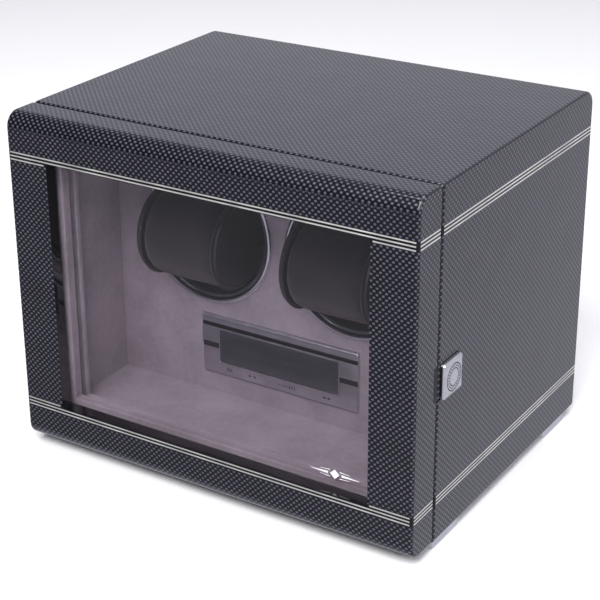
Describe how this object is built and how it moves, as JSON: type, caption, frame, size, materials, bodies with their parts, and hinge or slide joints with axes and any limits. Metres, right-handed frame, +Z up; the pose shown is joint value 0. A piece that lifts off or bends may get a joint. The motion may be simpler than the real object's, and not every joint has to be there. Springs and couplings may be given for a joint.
{
  "type": "watch winder box",
  "caption": "Lacquered cabinet with a glazed side-hinged door, motor-driven rotors holding watch cushions, a touch control panel and a push-button latch.",
  "frame": {"origin": "on the surface it stands on, under the middle of its outline", "axes": "+X to the right seen from the front, +Y to the back, +Z up; the door is at -Y and its hinge at -X"},
  "size_m": [0.3152, 0.247, 0.2466],
  "materials": {
    "woven_lacquer": "clear gloss lacquer over a woven carbon-look sheet on fibreboard",
    "inlay_line": "bright metal line let in flush under the lacquer",
    "suede": "microfibre suede, short brushed nap",
    "window_glass": "clear float glass, polished",
    "soft_rubber": "matt rubber",
    "polished_chrome": "polished chrome plate",
    "plain_steel": "zinc plated steel",
    "moulded_black": "moulded black ABS with a fine texture",
    "gloss_black": "polished black plastic",
    "brushed_plate": "horizontally brushed metal with a lacquered upper band",
    "cushion_suede": "dark suede sleeve",
    "zinc_steel": "zinc plated sheet",
    "turned_aluminium": "turned",
    "acetal": "moulded acetal",
    "turned_brass": "turned brass",
    "circuit_board": "green solder mask",
    "wire_cover": "soft insulated lead"
  },
  "bodies": {
    "cabinet": {"bottom_panel": "woven_lacquer", "cabinet_hinge_screws": "plain_steel", "cabinet_inlays": "inlay_line", "ceiling_lining": "suede", "control_board": "circuit_board", "control_plate": "brushed_plate", "display_module": "moulded_black", "display_window": "gloss_black", "door_bumpers": "soft_rubber", "drive_plate": "zinc_steel", "drive_plate_screws": "plain_steel", "fascia": "suede", "feet": "polished_chrome", "floor_lining": "suede", "foot_pads": "soft_rubber", "hinge_cabinet_leaves": "polished_chrome", "hinge_pins": "plain_steel", "latch_housing": "moulded_black", "latch_spring": "plain_steel", "left_lining": "suede", "left_motor": "plain_steel", "left_ring": "polished_chrome", "left_side_panel": "woven_lacquer", "opening_trim": "suede", "plate_posts": "turned_aluminium", "power_inlet": "moulded_black", "rear_cover": "moulded_black", "rear_cover_screws": "plain_steel", "rear_panel": "woven_lacquer", "right_lining": "suede", "right_motor": "plain_steel", "right_ring": "polished_chrome", "right_side_panel": "woven_lacquer", "rotor_bushes": "turned_brass", "top_panel": "woven_lacquer", "wiring_leads": "wire_cover"},
    "door": {"door_frame": "woven_lacquer", "door_inlays": "inlay_line", "door_glass": "window_glass", "glass_seal": "soft_rubber", "glass_retainer": "suede", "hinge_door_leaves": "polished_chrome", "door_hinge_screws": "plain_steel", "strike_plate": "polished_chrome"},
    "latch": {"latch_button": "polished_chrome", "latch_catch": "plain_steel"},
    "left_rotor": {"left_cup": "gloss_black", "left_rotor_shaft": "plain_steel", "left_drive_gear": "acetal", "left_cushion_clip": "plain_steel"},
    "left_pinion": {"left_motor_pinion": "turned_brass"},
    "left_watch_cushion": {"left_cushion": "cushion_suede", "left_spool": "moulded_black"},
    "right_rotor": {"right_cup": "gloss_black", "right_rotor_shaft": "plain_steel", "right_drive_gear": "acetal", "right_cushion_clip": "plain_steel"},
    "right_pinion": {"right_motor_pinion": "turned_brass"},
    "right_watch_cushion": {"right_cushion": "cushion_suede", "right_spool": "moulded_black"}
  },
  "joints": [
    {"name": "door_hinge", "type": "hinge", "parent": "cabinet", "child": "door", "pos_m": [-0.1556, -0.0952, 0.126], "axis": [0, 0, -1], "range_deg": [0, 110]},
    {"name": "latch_press", "type": "slide", "parent": "cabinet", "child": "latch", "axis": [-1, 0, 0], "range_m": [0, 0.002], "stiffness_N_per_m": 800, "springref_m": -0.002, "deforming": ["latch_spring"]},
    {"name": "left_rotor_spin", "type": "hinge", "parent": "cabinet", "child": "left_rotor", "pos_m": [-0.0576, 0.0195, 0.1516], "axis": [0, 1, 0], "continuous": true},
    {"name": "left_pinion_spin", "type": "hinge", "parent": "cabinet", "child": "left_pinion", "pos_m": [-0.0576, 0.0195, 0.1196], "axis": [0, 1, 0], "continuous": true},
    {"name": "left_cushion_slide", "type": "slide", "parent": "left_rotor", "child": "left_watch_cushion", "axis": [0, -1, 0], "range_m": [0, 0.033]},
    {"name": "right_rotor_spin", "type": "hinge", "parent": "cabinet", "child": "right_rotor", "pos_m": [0.0576, 0.0195, 0.1516], "axis": [0, 1, 0], "continuous": true},
    {"name": "right_pinion_spin", "type": "hinge", "parent": "cabinet", "child": "right_pinion", "pos_m": [0.0576, 0.0195, 0.1196], "axis": [0, 1, 0], "continuous": true},
    {"name": "right_cushion_slide", "type": "slide", "parent": "right_rotor", "child": "right_watch_cushion", "axis": [0, -1, 0], "range_m": [0, 0.033]}
  ],
  "couplings": [
    {"joint": "left_pinion_spin", "follows": "left_rotor_spin", "ratio": -3.5714},
    {"joint": "right_pinion_spin", "follows": "right_rotor_spin", "ratio": -3.5714}
  ]
}
